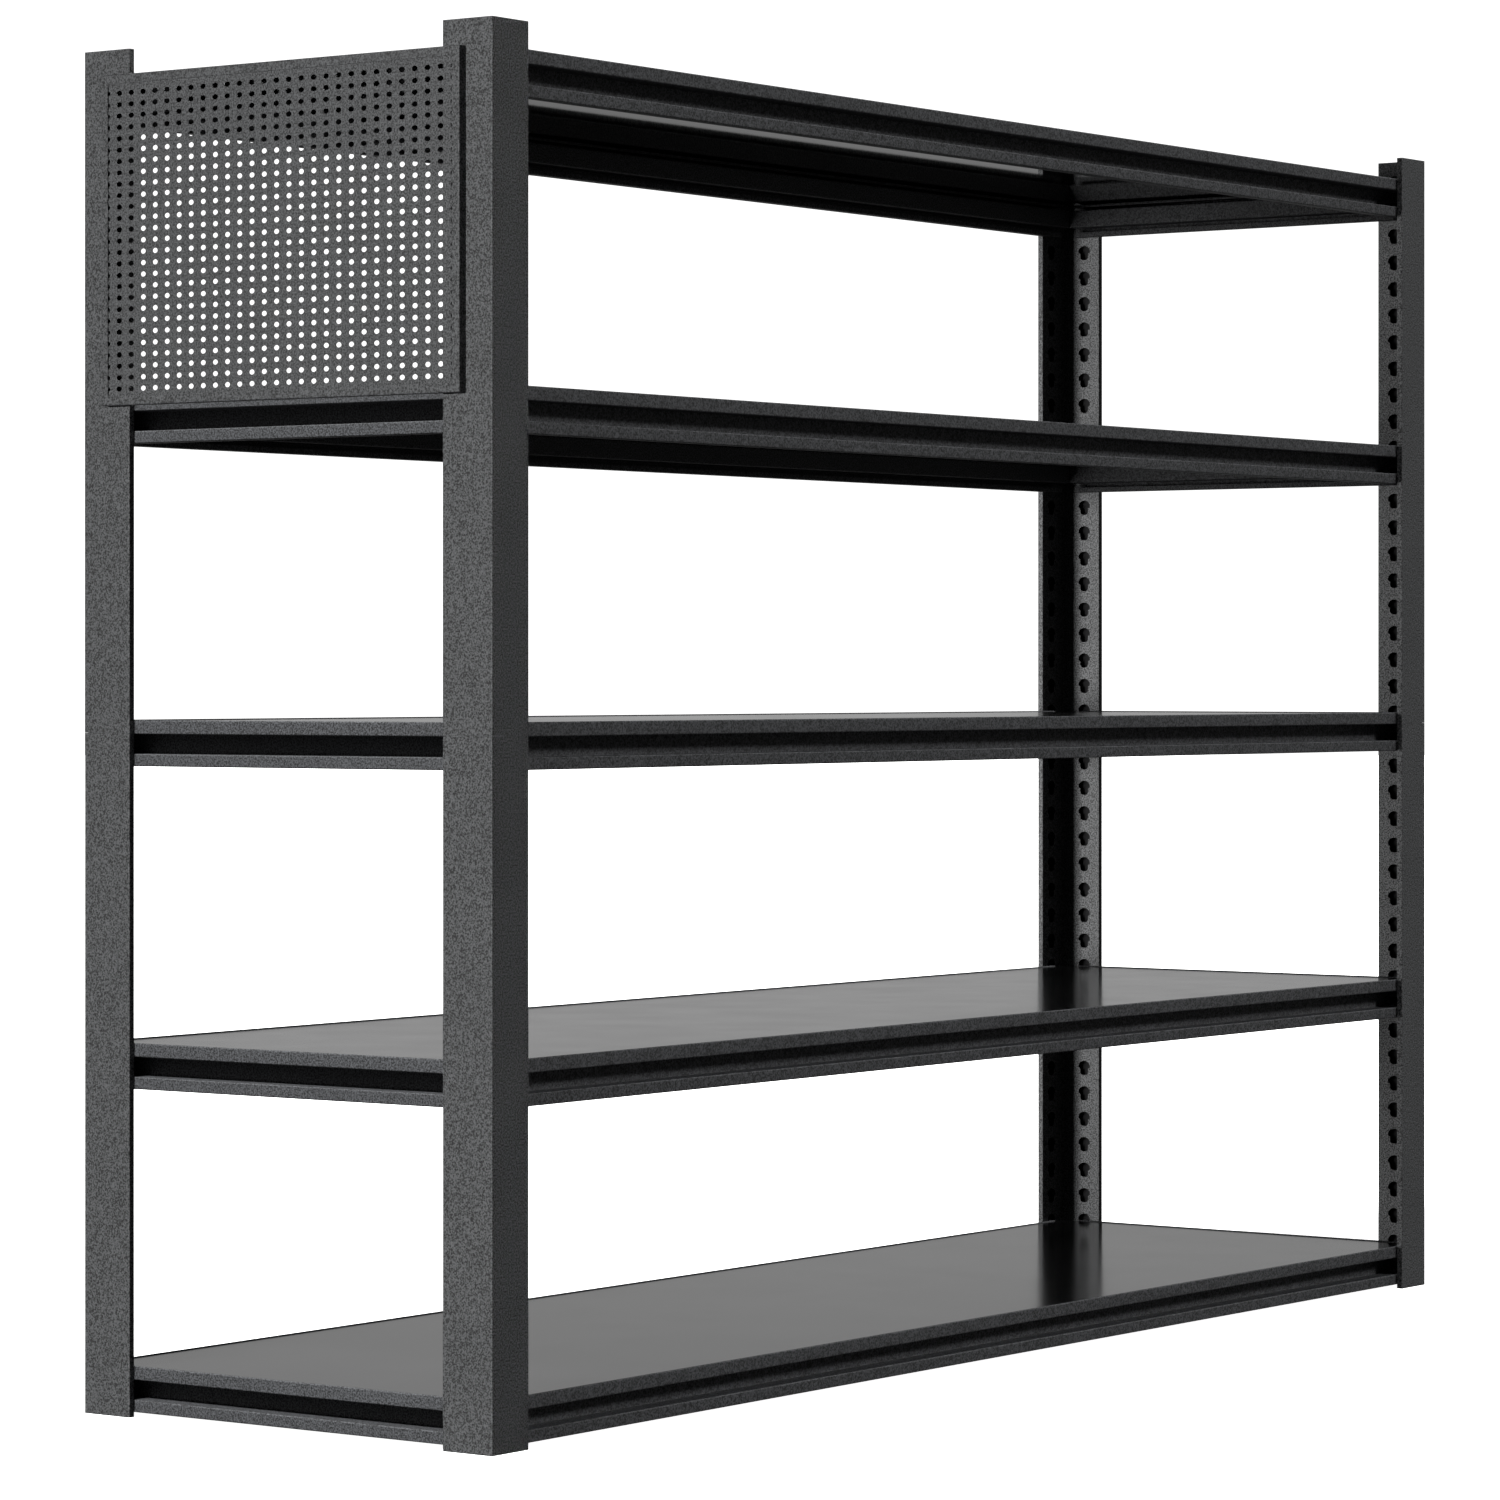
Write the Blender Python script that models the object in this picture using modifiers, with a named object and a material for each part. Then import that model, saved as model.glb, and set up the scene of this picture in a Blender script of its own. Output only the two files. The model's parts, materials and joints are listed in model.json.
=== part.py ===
"""A boltless five-tier gondola shelving unit, in metres, +Z up.

The origin is on the floor at the middle of the whole unit's footprint, side panel included. +X
runs along the long side, -Y is the front. Four double-walled angle posts carry shelf levels of
four rolled beams and one deck each. The beams' rivets drop into slots in the posts' inner walls.
A perforated side panel hangs outside the left end.
"""

from math import radians

import bmesh
import bpy
from mathutils import Matrix, Vector

# Overall size, over the posts.
WIDTH = 2.390
DEPTH = 0.690
HEIGHT = 1.800
LEVELS = 5

# Posts: two-leg angles, each leg an outer and an inner wall with a hollow between them.
FRONT_LEG = 0.074
SIDE_LEG = 0.080
POST_THICKNESS = 0.010
POST_WALL = 0.0012
FIRST_SLOT = 0.0235
SLOT_PITCH = 0.0425
SLOT_HEIGHT = 0.0238
SLOT_CAP = 0.0225
SLOT_NECK = 0.015
LEAST_ABOVE_SLOT = 0.020
SPLICE_ABOVE_SLOT = 0.0265

# The angle that joins a lower and an upper post inside their hollow corner.
CONNECTOR_LENGTH = 0.120
CONNECTOR_LEG = 0.0245
CONNECTOR_CLEARANCE = 0.0005

# Beams: one rolled sheet with an upper band, a groove, a lower band and a ledge for the deck.
BEAM_SHEET = 0.0012
BEAM_CORNER_GAP = 0.0007
UPPER_BAND = 0.0185
LOWER_BAND = 0.0165
GROOVE_DEPTH = 0.030
LIP_THICKNESS = 0.0036
LEDGE_REACH = 0.0280
LEDGE_ABOVE_GROOVE = 0.0053
BOTTOM_FLANGE = 0.0166
BOTTOM_RETURN = 0.008

# Rivets on the beam ends.
SHANK_DIAMETER = 0.010
HEAD_DIAMETER = 0.016
HEAD_THICKNESS = 0.002
HEAD_CLEARANCE = 0.0004
SHANK_CLEARANCE = 0.0005
UPPER_RIVET_BELOW_TOP = 0.0074
LOWER_RIVET_ABOVE_BOTTOM = 0.0111
RIVET_FROM_LONG_END = 0.0055
RIVET_FROM_SIDE_END = 0.0083
RIVET_SIDES = 6

# Decks: plain boards that lie in the frame of lips.
DECK_THICKNESS = 0.009
DECK_CLEARANCE = 0.0024

# Side panel: a pan-shaped frame, the perforated sheet in it and two hooks.
PANEL_FROM_CORNER = 0.042
PANEL_DEPTH = 0.0132
PANEL_BORDER = 0.012
PANEL_SHEET = 0.0012
PANEL_BELOW_TOP = 0.0017
PANEL_LAP = 0.0115
HOOK_WIDTH = 0.030
HOOK_FROM_EDGE = 0.103
HOOK_FOOT = 0.030
HOOK_SHOULDER = 0.024
HOOK_DROP = 0.009
HOOK_CLEARANCE = 0.0005

# Pieces that touch keep this gap.
GAP = 0.0003

SLOTS = int((HEIGHT - LEAST_ABOVE_SLOT - FIRST_SLOT) / SLOT_PITCH) + 1
SLOTS_PER_LEVEL = (SLOTS - 2) // (LEVELS - 1)
LOWER_SLOTS = LEVELS // 2 * SLOTS_PER_LEVEL + 1
SPLICE_HEIGHT = FIRST_SLOT + (LOWER_SLOTS - 1) * SLOT_PITCH + SPLICE_ABOVE_SLOT
BEAM_HEIGHT = LOWER_RIVET_ABOVE_BOTTOM + SLOT_PITCH + UPPER_RIVET_BELOW_TOP
BEAM_FACE = POST_THICKNESS + GAP
BEAM_REACH = max(LEDGE_REACH, GROOVE_DEPTH + BEAM_SHEET)
BEAM_END = BEAM_FACE + BEAM_REACH + BEAM_CORNER_GAP
FRONT_SLOT = BEAM_END + RIVET_FROM_LONG_END
SIDE_SLOT = BEAM_END + RIVET_FROM_SIDE_END
LOWER_RIVET = FIRST_SLOT - SLOT_HEIGHT / 2 + SHANK_CLEARANCE + SHANK_DIAMETER / 2
FIRST_TOP = LOWER_RIVET + SLOT_PITCH + UPPER_RIVET_BELOW_TOP
LEVEL_SPACING = SLOTS_PER_LEVEL * SLOT_PITCH
LEDGE_TOP = BEAM_HEIGHT - UPPER_BAND + 2 * BEAM_SHEET + LEDGE_ABOVE_GROOVE
PANEL_WIDTH = DEPTH - 2 * PANEL_FROM_CORNER
FRAME_SHIFT = (PANEL_DEPTH + GAP) / 2
CORNERS = {"front_left": (-1, -1), "front_right": (1, -1), "rear_left": (-1, 1), "rear_right": (1, 1)}


def clear_scene():
    for obj in list(bpy.data.objects):
        bpy.data.objects.remove(obj, do_unlink=True)


def make_collection(name):
    collection = bpy.data.collections.new(name)
    bpy.context.scene.collection.children.link(collection)
    return collection


def make_material(name, colour, roughness, metallic):
    material = bpy.data.materials.new(name)
    material.use_nodes = True
    shader = material.node_tree.nodes["Principled BSDF"]
    shader.inputs["Base Color"].default_value = (*colour, 1)
    shader.inputs["Roughness"].default_value = roughness
    shader.inputs["Metallic"].default_value = metallic
    material.diffuse_color = (*colour, 1)
    return material


def add_piece(name, mesh, material, location=(0, 0, 0), turn=0, parent=None):
    """A visible piece. Its location is in its parent's frame, and turn is about Z in degrees."""
    piece = bpy.data.objects.new(name, mesh)
    piece.location = location
    piece.rotation_euler.z = radians(turn)
    piece.parent = parent
    if not mesh.materials:
        mesh.materials.append(material)
    bpy.data.collections["gondola_shelving_unit"].objects.link(piece)
    return piece


def add_empty(name, location, parent=None):
    empty = bpy.data.objects.new(name, None)
    empty.location = location
    empty.parent = parent
    empty.empty_display_size = 0.05
    bpy.data.collections["gondola_shelving_unit"].objects.link(empty)
    return empty


def add_helper(name, mesh):
    """A cutter, or a shape to be joined to a piece."""
    helper = bpy.data.objects.new(name, mesh)
    helper.hide_render = True
    helper.display_type = "WIRE"
    bpy.data.collections["cutters"].objects.link(helper)
    return helper


def finished_mesh(name, obj):
    """The object's mesh with its modifiers applied. The object itself is removed."""
    graph = bpy.context.evaluated_depsgraph_get()
    mesh = bpy.data.meshes.new_from_object(obj.evaluated_get(graph))
    mesh.name = name
    bpy.data.objects.remove(obj, do_unlink=True)
    return mesh


def boolean(obj, other, operation):
    modifier = obj.modifiers.new(other.name, "BOOLEAN")
    modifier.operation = operation
    modifier.solver = "EXACT"
    modifier.object = other


def mesh_from(name, build):
    """A mesh that the function build has filled, with its faces turned outwards."""
    shape = bmesh.new()
    build(shape)
    bmesh.ops.recalc_face_normals(shape, faces=shape.faces)
    mesh = bpy.data.meshes.new(name)
    shape.to_mesh(mesh)
    shape.free()
    return mesh


def add_box(shape, low, high):
    low, high = Vector(low), Vector(high)
    place = Matrix.Translation((low + high) / 2) @ Matrix.Diagonal((*(high - low), 1))
    return bmesh.ops.create_cube(shape, size=1, matrix=place)["verts"]


def box_mesh(name, low, high):
    return mesh_from(name, lambda shape: add_box(shape, low, high))


def outline_mesh(name, outlines, length):
    """Flat closed outlines in XY, the later ones as holes, drawn out from 0 to length in Z."""
    curve = bpy.data.curves.new(name, "CURVE")
    curve.dimensions = "2D"
    curve.fill_mode = "BOTH"
    curve.extrude = length / 2
    for outline in outlines:
        spline = curve.splines.new("POLY")
        spline.points.add(len(outline) - 1)
        spline.use_cyclic_u = True
        for point, (x, y) in zip(spline.points, outline):
            point.co = (x, y, 0, 1)
    guide = add_helper(name + "_outline", curve)
    mesh = finished_mesh(name, guide)
    shape = bmesh.new()
    shape.from_mesh(mesh)
    bmesh.ops.remove_doubles(shape, verts=shape.verts, dist=1e-6)
    bmesh.ops.translate(shape, verts=shape.verts, vec=(0, 0, length / 2))
    bmesh.ops.recalc_face_normals(shape, faces=shape.faces)
    shape.to_mesh(mesh)
    shape.free()
    bpy.data.curves.remove(curve)
    return mesh


def ribbon_mesh(name, path, low, high, thickness):
    """A folded sheet: path is its middle line in YZ, drawn out along X from low to high."""
    shape = bmesh.new()
    points = [shape.verts.new((low, y, z)) for y, z in path]
    edges = [shape.edges.new(pair) for pair in zip(points, points[1:])]
    drawn = bmesh.ops.extrude_edge_only(shape, edges=edges)["geom"]
    moved = [item for item in drawn if isinstance(item, bmesh.types.BMVert)]
    bmesh.ops.translate(shape, verts=moved, vec=(high - low, 0, 0))
    bmesh.ops.recalc_face_normals(shape, faces=shape.faces)
    surface = bpy.data.meshes.new(name + "_surface")
    shape.to_mesh(surface)
    shape.free()
    sheet = add_helper(name + "_sheet", surface)
    solidify = sheet.modifiers.new("sheet", "SOLIDIFY")
    solidify.thickness = thickness
    solidify.offset = 0
    solidify.use_even_offset = True
    solidify.use_quality_normals = True
    return finished_mesh(name, sheet)


def angle_outline(along_x, along_y, front_leg, side_leg, inset, thickness):
    """An L in plan, its corner at the origin. Its legs run towards along_x and along_y."""
    far = inset + thickness
    points = [
        (inset, inset),
        (front_leg - inset, inset),
        (front_leg - inset, far),
        (far, far),
        (far, side_leg - inset),
        (inset, side_leg - inset),
    ]
    return [(along_x * x, along_y * y) for x, y in points]


def slot_heights(first, count):
    return [FIRST_SLOT + (first + index) * SLOT_PITCH for index in range(count)]


def add_slot(shape, along_x, along_y, leg, height):
    """A slot's cutter through the inner wall only: wide above, narrow below."""
    near = POST_THICKNESS / 2
    far = POST_THICKNESS + POST_WALL
    across = (near + far) / 2
    if leg == "front":
        axis, middle = 0, (along_x * FRONT_SLOT, along_y * across, height)
        size = (SLOT_CAP, far - near, SLOT_HEIGHT)
    else:
        axis, middle = 1, (along_x * across, along_y * SIDE_SLOT, height)
        size = (far - near, SLOT_CAP, SLOT_HEIGHT)
    place = Matrix.Translation(middle) @ Matrix.Diagonal((*size, 1))
    for vert in bmesh.ops.create_cube(shape, size=1, matrix=place)["verts"]:
        if vert.co.z < height:
            vert.co[axis] = middle[axis] + (vert.co[axis] - middle[axis]) * SLOT_NECK / SLOT_CAP


def post_mesh(name, along_x, along_y, base, top, heights):
    outer = angle_outline(along_x, along_y, FRONT_LEG, SIDE_LEG, 0, POST_THICKNESS)
    hollow = POST_THICKNESS - 2 * POST_WALL
    inner = angle_outline(along_x, along_y, FRONT_LEG, SIDE_LEG, POST_WALL, hollow)
    blank = add_helper(name + "_blank", outline_mesh(name, [outer, inner], top - base))

    def build(shape):
        for height in heights:
            add_slot(shape, along_x, along_y, "front", height - base)
            add_slot(shape, along_x, along_y, "side", height - base)

    slots = add_helper(name + "_slots", mesh_from(name + "_slots", build))
    boolean(blank, slots, "DIFFERENCE")
    mesh = finished_mesh(name, blank)
    bpy.data.objects.remove(slots, do_unlink=True)
    return mesh


def add_posts(coat, frame):
    halves = {
        "lower": (0, SPLICE_HEIGHT - GAP / 2, slot_heights(0, LOWER_SLOTS)),
        "upper": (SPLICE_HEIGHT + GAP / 2, HEIGHT, slot_heights(LOWER_SLOTS, SLOTS - LOWER_SLOTS)),
    }
    for corner, (side_x, side_y) in CORNERS.items():
        for half, (base, top, heights) in halves.items():
            name = f"post_{corner}_{half}"
            mesh = post_mesh(name, -side_x, -side_y, base, top, heights)
            place = (side_x * WIDTH / 2, side_y * DEPTH / 2, base)
            add_piece(name, mesh, coat, place, parent=frame)


def add_connectors(zinc, frame):
    inset = POST_WALL + CONNECTOR_CLEARANCE
    thickness = POST_THICKNESS - 2 * inset
    reach = CONNECTOR_LEG + 2 * inset
    for corner, (side_x, side_y) in CORNERS.items():
        outline = angle_outline(-side_x, -side_y, reach, reach, inset, thickness)
        mesh = outline_mesh("splice_" + corner, [outline], CONNECTOR_LENGTH)
        place = (side_x * WIDTH / 2, side_y * DEPTH / 2, SPLICE_HEIGHT - CONNECTOR_LENGTH / 2)
        add_piece("splice_" + corner, mesh, zinc, place, parent=frame)


def beam_path():
    """The beam sheet's middle line: Y inwards from the outer face, Z up from the lowest edge."""
    half = BEAM_SHEET / 2
    top = BEAM_HEIGHT - half
    ceiling = BEAM_HEIGHT - UPPER_BAND + half
    floor = LOWER_BAND - half
    web = GROOVE_DEPTH + half
    return [
        (LEDGE_REACH, LEDGE_TOP - half),
        (LIP_THICKNESS - half, LEDGE_TOP - half),
        (LIP_THICKNESS - half, top),
        (half, top),
        (half, ceiling),
        (web, ceiling),
        (web, floor),
        (half, floor),
        (half, half),
        (BOTTOM_FLANGE - half, half),
        (BOTTOM_FLANGE - half, BOTTOM_RETURN),
    ]


def add_rivet_part(shape, x, z, radius, near, far):
    """A short round bar along Y from near to far."""
    place = Matrix.Translation((x, (near + far) / 2, z)) @ Matrix.Rotation(radians(90), 4, "X")
    turned = place @ Matrix.Rotation(radians(180 / RIVET_SIDES), 4, "Z")
    bmesh.ops.create_cone(
        shape,
        cap_ends=True,
        segments=RIVET_SIDES,
        radius1=radius,
        radius2=radius,
        depth=abs(near - far),
        matrix=turned,
    )


def beam_mesh(name, length, rivet_x):
    """A beam along X about its middle, its outer face at Y = 0, with four rivets in a row of two."""
    sheet = ribbon_mesh(name, beam_path(), -length / 2, length / 2, BEAM_SHEET)
    beam = add_helper(name, sheet)
    upper = BEAM_HEIGHT - UPPER_RIVET_BELOW_TOP
    places = [(x, z) for x in (-rivet_x, rivet_x) for z in (upper - SLOT_PITCH, upper)]
    head_near = -(GAP + POST_WALL + HEAD_CLEARANCE)
    head_far = head_near - HEAD_THICKNESS

    def build_shanks(shape):
        for x, z in places:
            add_rivet_part(shape, x, z, SHANK_DIAMETER / 2, BEAM_SHEET / 2, (head_near + head_far) / 2)

    def build_heads(shape):
        for x, z in places:
            add_rivet_part(shape, x, z, HEAD_DIAMETER / 2, head_near, head_far)

    for part, build in (("shanks", build_shanks), ("heads", build_heads)):
        helper = add_helper(f"{name}_{part}", mesh_from(f"{name}_{part}", build))
        boolean(beam, helper, "UNION")
    mesh = finished_mesh(name, beam)
    for part in ("shanks", "heads"):
        bpy.data.objects.remove(bpy.data.objects[f"{name}_{part}"], do_unlink=True)
    return mesh


def add_levels(coat, laminate, frame):
    """Each level's beams and deck hang on an empty at the level's top edge."""
    long_beam = beam_mesh("long_beam", WIDTH - 2 * BEAM_END, WIDTH / 2 - FRONT_SLOT)
    side_beam = beam_mesh("side_beam", DEPTH - 2 * BEAM_END, DEPTH / 2 - SIDE_SLOT)
    reach_x = WIDTH / 2 - BEAM_FACE
    reach_y = DEPTH / 2 - BEAM_FACE
    edge = LIP_THICKNESS + DECK_CLEARANCE
    bottom = LEDGE_TOP + GAP - BEAM_HEIGHT
    corner = Vector((reach_x - edge, reach_y - edge, 0))
    low, high = (-corner.x, -corner.y, bottom), (corner.x, corner.y, bottom + DECK_THICKNESS)
    board = box_mesh("deck", low, high)
    places = {
        "front": (long_beam, (0, -reach_y), 0),
        "rear": (long_beam, (0, reach_y), 180),
        "left": (side_beam, (-reach_x, 0), -90),
        "right": (side_beam, (reach_x, 0), 90),
    }
    for number in range(1, LEVELS + 1):
        height = FIRST_TOP + (number - 1) * LEVEL_SPACING
        level = add_empty(f"level_{number}", (0, 0, height), frame)
        for side, (mesh, (x, y), turn) in places.items():
            add_piece(f"beam_{side}_{number}", mesh, coat, (x, y, -BEAM_HEIGHT), turn, level)
        add_piece(f"deck_{number}", board, laminate, (0, 0, 0), 0, level)
    return level


def panel_frame_mesh(height):
    """A pan open to +X: a border round an opening, and a rim behind the border's outer edge."""
    half = PANEL_WIDTH / 2
    frame = add_helper("panel_frame", box_mesh("panel_frame", (0, -half, 0), (PANEL_DEPTH, half, height)))
    wall = PANEL_SHEET
    low, high = (wall, wall - half, wall), (2 * PANEL_DEPTH, half - wall, height - wall)
    pocket = add_helper("pocket", box_mesh("pocket", low, high))
    side = half - PANEL_BORDER
    low, high = (-wall, -side, PANEL_BORDER), (2 * wall, side, height - PANEL_BORDER)
    opening = add_helper("opening", box_mesh("opening", low, high))
    boolean(frame, pocket, "DIFFERENCE")
    boolean(frame, opening, "DIFFERENCE")
    mesh = finished_mesh("panel_frame", frame)
    for cutter in (pocket, opening):
        bpy.data.objects.remove(cutter, do_unlink=True)
    return mesh


def hook_mesh(height):
    """A bent strap from the sheet's back over the beam's lip, drawn out along X before it is turned."""
    half = PANEL_SHEET / 2
    foot = 2 * (PANEL_SHEET + GAP) + half
    face = PANEL_DEPTH + GAP + BEAM_FACE
    leg = face - GAP - half
    behind = face + LIP_THICKNESS + HOOK_CLEARANCE + half
    over = height + PANEL_BELOW_TOP + GAP + half
    shoulder = height - HOOK_SHOULDER
    path = [
        (foot, shoulder - HOOK_FOOT),
        (foot, shoulder),
        (leg, shoulder),
        (leg, over),
        (behind, over),
        (behind, over - HOOK_DROP),
    ]
    return ribbon_mesh("panel_hook", path, -HOOK_WIDTH / 2, HOOK_WIDTH / 2, PANEL_SHEET)


def add_side_panel(coat, top_level):
    """The panel spans the last two levels, outside the left posts."""
    height = LEVEL_SPACING - PANEL_BELOW_TOP + PANEL_LAP
    face = -WIDTH / 2 - GAP - PANEL_DEPTH
    place = Vector((face, 0, -PANEL_BELOW_TOP - height))
    panel = add_empty("side_panel", place, top_level)
    add_piece("panel_frame", panel_frame_mesh(height), coat, parent=panel)
    margin = PANEL_SHEET + GAP
    half = PANEL_WIDTH / 2 - margin
    low, high = (margin, -half, margin), (margin + PANEL_SHEET, half, height - margin)
    add_piece("panel_sheet", box_mesh("panel_sheet", low, high), coat, parent=panel)
    hook = hook_mesh(height)
    for name, side in (("front", -1), ("rear", 1)):
        along = side * (PANEL_WIDTH / 2 - HOOK_FROM_EDGE)
        add_piece(f"panel_hook_{name}", hook, coat, (0, along, 0), -90, panel)


def main():
    clear_scene()
    make_collection("gondola_shelving_unit")
    make_collection("cutters")
    post_coat = make_material("post_powder_coat", (0.055, 0.056, 0.058), 0.62, 0.0)
    beam_coat = make_material("beam_powder_coat", (0.048, 0.049, 0.051), 0.62, 0.0)
    panel_coat = make_material("panel_powder_coat", (0.055, 0.056, 0.058), 0.62, 0.0)
    laminate = make_material("deck_laminate", (0.030, 0.030, 0.031), 0.28, 0.0)
    zinc = make_material("connector_zinc", (0.55, 0.56, 0.57), 0.40, 1.0)
    frame = add_empty("frame", (FRAME_SHIFT, 0, 0))
    add_posts(post_coat, frame)
    add_connectors(zinc, frame)
    top_level = add_levels(beam_coat, laminate, frame)
    add_side_panel(panel_coat, top_level)


main()
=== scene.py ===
"""The looks of a boltless five-level shelving unit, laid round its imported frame."""

import json
from math import cos, pi, radians, sin, tan

import bmesh
import bpy
from mathutils import Matrix, Vector


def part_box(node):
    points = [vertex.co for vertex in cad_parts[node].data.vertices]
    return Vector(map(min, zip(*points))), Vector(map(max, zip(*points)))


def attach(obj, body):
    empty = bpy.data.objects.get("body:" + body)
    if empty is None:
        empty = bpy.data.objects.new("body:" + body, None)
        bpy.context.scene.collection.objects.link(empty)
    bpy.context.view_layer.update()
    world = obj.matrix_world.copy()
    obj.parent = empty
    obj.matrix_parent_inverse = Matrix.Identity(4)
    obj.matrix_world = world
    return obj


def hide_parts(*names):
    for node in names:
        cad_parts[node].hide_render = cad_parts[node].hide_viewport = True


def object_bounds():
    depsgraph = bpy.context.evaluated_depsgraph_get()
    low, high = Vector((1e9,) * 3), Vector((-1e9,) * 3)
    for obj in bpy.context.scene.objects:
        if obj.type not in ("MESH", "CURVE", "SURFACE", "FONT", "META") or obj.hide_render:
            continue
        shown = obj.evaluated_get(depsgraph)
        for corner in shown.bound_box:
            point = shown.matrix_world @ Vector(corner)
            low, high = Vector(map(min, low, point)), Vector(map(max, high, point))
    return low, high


bl_info = {
    "name": "Boltless Shelving Unit",
    "version": (1, 0, 0),
    "blender": (4, 5, 0),
    "location": "View3D > Sidebar > Shelving",
    "description": "Builds the posts, beams, decks and side panel of a shelving unit round its frame",
    "category": "Add Mesh",
}

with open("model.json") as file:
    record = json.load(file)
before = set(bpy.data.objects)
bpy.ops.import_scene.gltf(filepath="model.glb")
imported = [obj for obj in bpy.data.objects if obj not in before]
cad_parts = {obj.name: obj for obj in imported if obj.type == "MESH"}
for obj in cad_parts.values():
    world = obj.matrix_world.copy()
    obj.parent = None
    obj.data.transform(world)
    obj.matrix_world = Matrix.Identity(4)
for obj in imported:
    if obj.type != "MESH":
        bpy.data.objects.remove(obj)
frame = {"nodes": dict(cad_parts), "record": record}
CAD_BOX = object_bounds()

MM = 0.001
CORNERS = {"front_left": (-1, -1), "front_right": (1, -1), "rear_left": (-1, 1), "rear_right": (1, 1)}
POST_HALVES = ("lower", "upper")
SIDE_TURNS = {"front": 0, "rear": 180, "left": -90, "right": 90}
LEVELS = sum(name.startswith("deck_") for name in frame["nodes"])
WHITE = (1.0, 1.0, 1.0, 1.0)
BEND_STEPS = 4
SMOOTH_BELOW = radians(32)

# The posts' slots, as the frame has them: the middle of the lowest one over the floor, and their spacing.
SLOT_FIRST = 23.5 * MM
SLOT_PITCH = 42.5 * MM


def linear(hex_colour):
    """An sRGB hex colour as linear red, green and blue."""
    parts = [int(hex_colour[start:start + 2], 16) / 255 for start in (0, 2, 4)]
    return tuple(part / 12.92 if part <= 0.04045 else ((part + 0.055) / 1.055) ** 2.4 for part in parts)


def length(name, description, default):
    """A size in metres, to show in the sidebar."""
    return bpy.props.FloatProperty(
        name=name,
        description=description,
        default=default,
        min=0.0,
        precision=4,
        subtype="DISTANCE",
        unit="LENGTH",
    )


def colour(name, description, hex_colour):
    """A colour to show in the sidebar, from its sRGB hex form."""
    return bpy.props.FloatVectorProperty(
        name=name,
        description=description,
        default=linear(hex_colour),
        size=3,
        min=0.0,
        max=1.0,
        subtype="COLOR",
    )


class ShelvingSizes(bpy.types.PropertyGroup):
    """Sizes of the formed steel and the boards."""

    sheet: length("Sheet", "Thickness of all the formed sheet", 1.2 * MM)
    post_thickness: length("Post thickness", "Across a post's two walls", 10 * MM)
    post_corner: length("Post corner", "Outer radius of a post's main bend", 1.6 * MM)
    post_edge: length("Post edge", "Outer radius of a post's folded free edges", 1.4 * MM)
    front_slot: length("Front slot", "From a post's outer corner to its front slots", 47.7 * MM)
    side_slot: length("Side slot", "From a post's outer corner to its side slots", 50.5 * MM)
    slot_height: length("Slot height", "Height of a post's slot", 23.8 * MM)
    slot_cap: length("Slot cap", "Width of a slot's domed cap", 22.8 * MM)
    slot_stem: length("Slot stem", "Width of a slot's stem", 15.4 * MM)
    slot_cap_depth: length("Cap depth", "From a slot's top to the foot of its cap", 12.4 * MM)
    beam_end: length("Beam end", "From a post's outer corner to the beams' ends", 42.2 * MM)
    beam_bend: length("Beam bend", "Middle radius of a beam's bends", 1.15 * MM)
    upper_band: length("Upper band", "Height of a beam's upper band", 18.5 * MM)
    lower_band: length("Lower band", "Height of a beam's lower band", 16.5 * MM)
    groove_depth: length("Groove depth", "Depth of a beam's groove", 30 * MM)
    lip: length("Lip", "Thickness of a beam's folded lip", 3.6 * MM)
    ledge: length("Ledge", "How far a beam's ledge reaches inwards", 28 * MM)
    ledge_gap: length("Ledge gap", "Between a beam's ledge and the sheet over its groove", 5.3 * MM)
    bottom_flange: length("Bottom flange", "How far a beam's foot reaches inwards", 16.6 * MM)
    bottom_return: length("Bottom return", "Height of the return behind a beam's foot", 8 * MM)
    rivet_reach: length("Rivet reach", "From a beam's face to the outside of its rivet heads", 3.9 * MM)
    rivet_below_top: length("Upper rivet", "From a beam's top to its upper rivets", 7.4 * MM)
    deck_edge: length("Deck edge", "Radius of the boards' eased edges", 0.9 * MM)
    panel_border: length("Panel border", "Width of the side panel's plain border", 12 * MM)
    panel_bend: length("Panel bend", "Middle radius of the side panel's bend", 0.9 * MM)
    hole_width: length("Hole width", "Width of a hole in the side panel", 9.4 * MM)
    hole_height: length("Hole height", "Height of a hole in the side panel", 7.0 * MM)
    column_pitch: length("Column pitch", "Between the columns of holes", 20.9 * MM)
    row_pitch: length("Row pitch", "Between the rows of holes", 14.94 * MM)
    rows_drop: length("Rows drop", "How far the rows lie under the panel's middle", 1.7 * MM)


class ShelvingColours(bpy.types.PropertyGroup):
    """Colours of the coats, the boards and the stage."""

    post_coat: colour("Post coat", "Powder coat on the posts", "38393a")
    beam_coat: colour("Beam coat", "Powder coat on the beams", "37383a")
    panel_coat: colour("Panel coat", "Powder coat on the side panel", "38393a")
    laminate: colour("Laminate", "Melamine face of the boards", "121213")
    zinc: colour("Zinc", "Zinc plate on the splices", "a9adb1")
    # The hollow colour is near black: bare steel darkened as painted shade for the inside of the posts, seen
    # through the slots.
    hollow: colour("Hollow", "Mill scale inside the hollow posts", "101011")
    floor: colour("Floor", "Painted studio floor", "f4f4f3")


# Materials


def add_node(tree, kind, links=(), **settings):
    """A node with its settings, its inputs set or joined by links: (input, value or output socket)."""
    node = tree.nodes.new(kind)
    for name, value in settings.items():
        setattr(node, name, value)
    for name, value in links:
        if isinstance(value, bpy.types.NodeSocket):
            tree.links.new(value, node.inputs[name])
        else:
            node.inputs[name].default_value = value
    return node


def new_material(name):
    """A material with an empty node tree, and that tree."""
    material = bpy.data.materials.new(name)
    material.use_nodes = True
    material.node_tree.nodes.clear()
    return material, material.node_tree


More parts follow.
